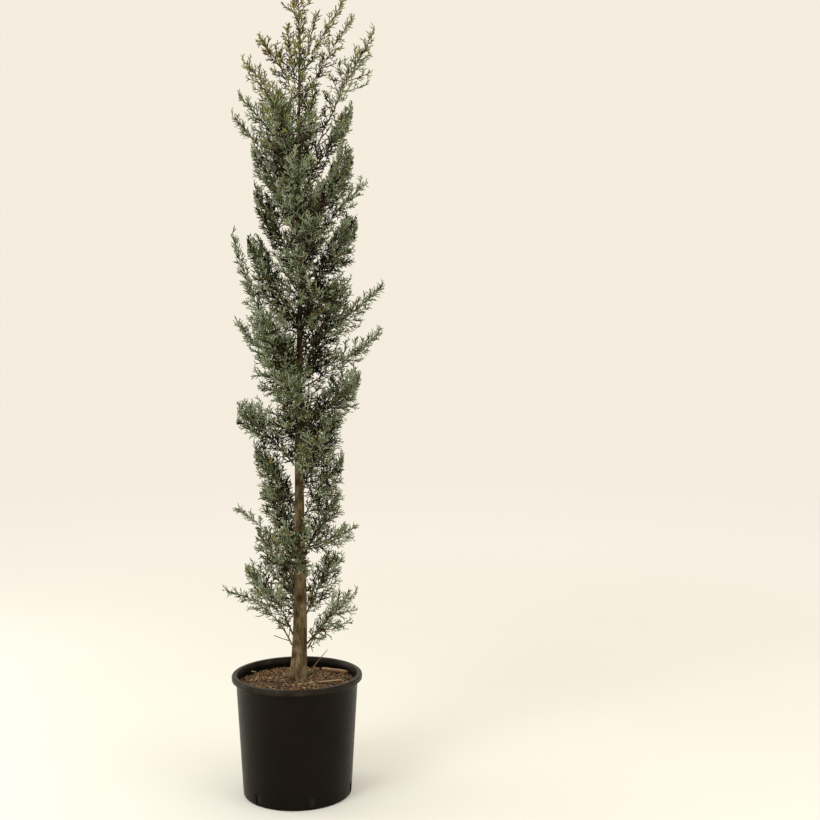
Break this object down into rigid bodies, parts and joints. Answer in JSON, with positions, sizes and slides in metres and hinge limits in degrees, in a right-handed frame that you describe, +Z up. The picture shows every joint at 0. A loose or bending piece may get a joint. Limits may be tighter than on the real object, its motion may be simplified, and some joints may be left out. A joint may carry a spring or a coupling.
{
  "type": "potted young arizona cypress tree",
  "caption": "Slender upright conifer with blue-grey thread-like foliage and a bare lower stem, growing in a round black nursery pot.",
  "frame": {"origin": "centre of the pot's flat underside, on the floor it stands on", "axes": "+Z up along the trunk; +X to the right and -Y towards the viewer of the picture"},
  "size_m": [0.3809, 0.3056, 1.895],
  "materials": {
    "pot_plastic": "satin black, lightly dusty",
    "compost": "loose bark chips and fibre",
    "bark": "thin grey-brown bark",
    "foliage": "waxy blue-grey scale leaves"
  },
  "bodies": {
    "root": {"pot": "pot_plastic", "soil": "compost", "trunk": "bark", "bough_01": "bark", "bough_02": "bark", "bough_03": "bark", "bough_04": "bark", "bough_05": "bark", "foliage_01": "foliage", "foliage_02": "foliage", "foliage_03": "foliage", "foliage_04": "foliage", "foliage_05": "foliage", "foliage_06": "foliage", "foliage_07": "foliage", "foliage_08": "foliage", "foliage_09": "foliage", "foliage_10": "foliage", "foliage_11": "foliage", "foliage_12": "foliage", "foliage_13": "foliage", "foliage_14": "foliage", "foliage_15": "foliage", "foliage_16": "foliage", "foliage_17": "foliage", "foliage_18": "foliage", "foliage_19": "foliage", "foliage_20": "foliage", "foliage_21": "foliage", "foliage_22": "foliage", "foliage_23": "foliage", "foliage_24": "foliage", "foliage_25": "foliage", "foliage_26": "foliage", "foliage_27": "foliage", "foliage_28": "foliage", "foliage_29": "foliage", "foliage_30": "foliage", "foliage_31": "foliage", "foliage_32": "foliage", "foliage_33": "foliage", "foliage_34": "foliage", "foliage_35": "foliage", "foliage_36": "foliage", "foliage_37": "foliage", "foliage_38": "foliage", "foliage_39": "foliage", "foliage_40": "foliage", "foliage_41": "foliage", "foliage_42": "foliage", "foliage_43": "foliage", "foliage_44": "foliage", "foliage_45": "foliage", "foliage_46": "foliage", "foliage_47": "foliage", "foliage_48": "foliage", "foliage_49": "foliage", "foliage_50": "foliage", "foliage_51": "foliage", "foliage_52": "foliage"}
  },
  "joints": []
}
